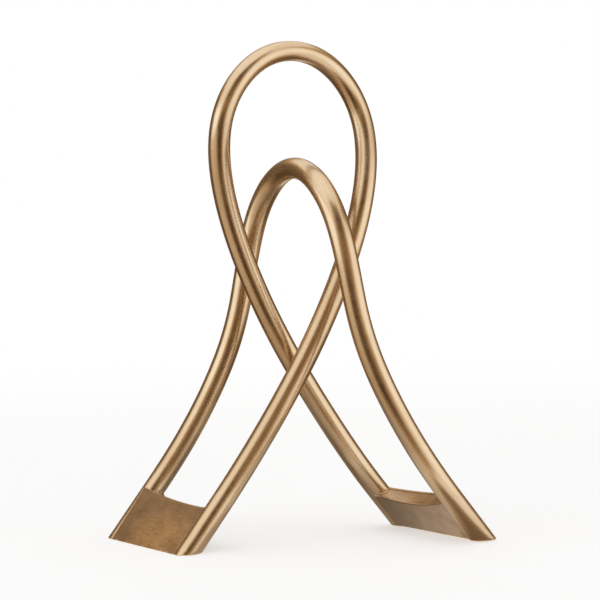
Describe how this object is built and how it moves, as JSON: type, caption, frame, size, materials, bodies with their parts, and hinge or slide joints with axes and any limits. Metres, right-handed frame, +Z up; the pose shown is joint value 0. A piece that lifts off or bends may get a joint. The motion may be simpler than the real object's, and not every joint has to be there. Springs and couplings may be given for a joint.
{
  "type": "loop sculpture",
  "caption": "Free-standing table sculpture: a bent tube looping over itself through an arched tube, both on boxed sheet metal feet.",
  "frame": {"origin": "on the surface the sculpture stands on, midway between its two feet", "axes": "+Z up, +X from the left foot to the right foot, the front faces -Y"},
  "size_m": [0.2744, 0.1322, 0.3614],
  "materials": {
    "satin_gold_tube": "steel tube with a satin antique gold finish, fine grain, soft highlights",
    "brushed_gold_plate": "steel sheet with the same antique gold finish, lightly brushed, worn bright along its edges"
  },
  "bodies": {
    "root": {"big_loop_tube": "satin_gold_tube", "small_arch_tube": "satin_gold_tube", "left_outer_plate": "brushed_gold_plate", "left_inner_plate": "brushed_gold_plate", "left_top_strip": "brushed_gold_plate", "left_base_plate": "brushed_gold_plate", "right_outer_plate": "brushed_gold_plate", "right_inner_plate": "brushed_gold_plate", "right_top_strip": "brushed_gold_plate", "right_base_plate": "brushed_gold_plate"}
  },
  "joints": []
}
